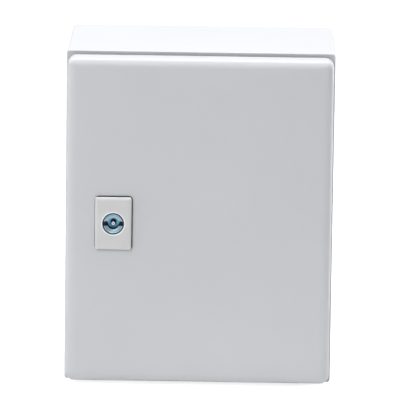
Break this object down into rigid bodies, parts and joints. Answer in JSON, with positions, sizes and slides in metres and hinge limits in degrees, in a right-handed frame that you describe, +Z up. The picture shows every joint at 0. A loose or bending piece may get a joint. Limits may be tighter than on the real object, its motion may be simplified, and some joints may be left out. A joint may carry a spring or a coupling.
{
  "type": "wall enclosure",
  "caption": "Wall-mounted sheet-steel enclosure with a hinged door on concealed hinges, a quarter-turn double-bit lock, a gasket, a mounting plate and a gland plate.",
  "frame": {"origin": "centre of the four wall holes, on the back face that lies against the wall, at mid-height", "axes": "+Z up, +Y into the wall, +X to the right as the door is looked at; the door faces -Y"},
  "size_m": [0.2, 0.1532, 0.25],
  "materials": {
    "body_coat": "light grey powder coat, fine texture",
    "door_coat": "light grey powder coat, fine texture",
    "galvanised_sheet": "galvanised sheet with a faint spangle",
    "zinc_steel": "blue zinc plating",
    "hinge_diecast": "die-cast, satin grey",
    "gasket_foam": "foamed polyurethane with a closed skin",
    "seal_rubber": "matt black rubber",
    "lock_coat": "die-cast plate, light grey, semi-gloss",
    "insert_zinc": "turned die-cast, blue zinc plated"
  },
  "bodies": {
    "enclosure": {"body_wrap": "body_coat", "rear_panel": "body_coat", "mounting_plate": "galvanised_sheet", "plate_studs": "zinc_steel", "plate_spacers": "zinc_steel", "plate_washers": "zinc_steel", "plate_nuts": "zinc_steel", "gland_gasket": "seal_rubber", "gland_plate": "body_coat", "gland_studs": "zinc_steel", "gland_washers": "zinc_steel", "gland_nuts": "zinc_steel", "body_earth_stud": "zinc_steel", "body_earth_washer": "zinc_steel", "body_earth_nut": "zinc_steel", "body_hinge_leaf_upper": "hinge_diecast", "body_hinge_leaf_lower": "hinge_diecast", "body_hinge_screws": "zinc_steel", "body_hinge_nuts": "zinc_steel", "hinge_pin_upper": "zinc_steel", "hinge_pin_lower": "zinc_steel"},
    "door": {"door_panel": "door_coat", "door_gasket": "gasket_foam", "door_hinge_leaf_upper": "hinge_diecast", "door_hinge_leaf_lower": "hinge_diecast", "door_hinge_studs": "zinc_steel", "door_hinge_nuts": "zinc_steel", "door_earth_stud": "zinc_steel", "door_earth_washer": "zinc_steel", "door_earth_nut": "zinc_steel", "lock_seal": "seal_rubber", "lock_housing": "lock_coat", "lock_nut": "zinc_steel"},
    "lock": {"lock_insert": "insert_zinc", "lock_o_ring": "seal_rubber", "lock_cam": "zinc_steel", "cam_washer": "zinc_steel", "cam_screw": "zinc_steel"}
  },
  "joints": [
    {"name": "door_hinge", "type": "hinge", "parent": "enclosure", "child": "door", "pos_m": [0.094, -0.141, 0], "axis": [0, 0, 1], "range_deg": [0, 120]},
    {"name": "lock_turn", "type": "hinge", "parent": "door", "child": "lock", "pos_m": [-0.0635, -0.15, -0.0016], "axis": [0, 1, 0], "range_deg": [0, 90]}
  ]
}
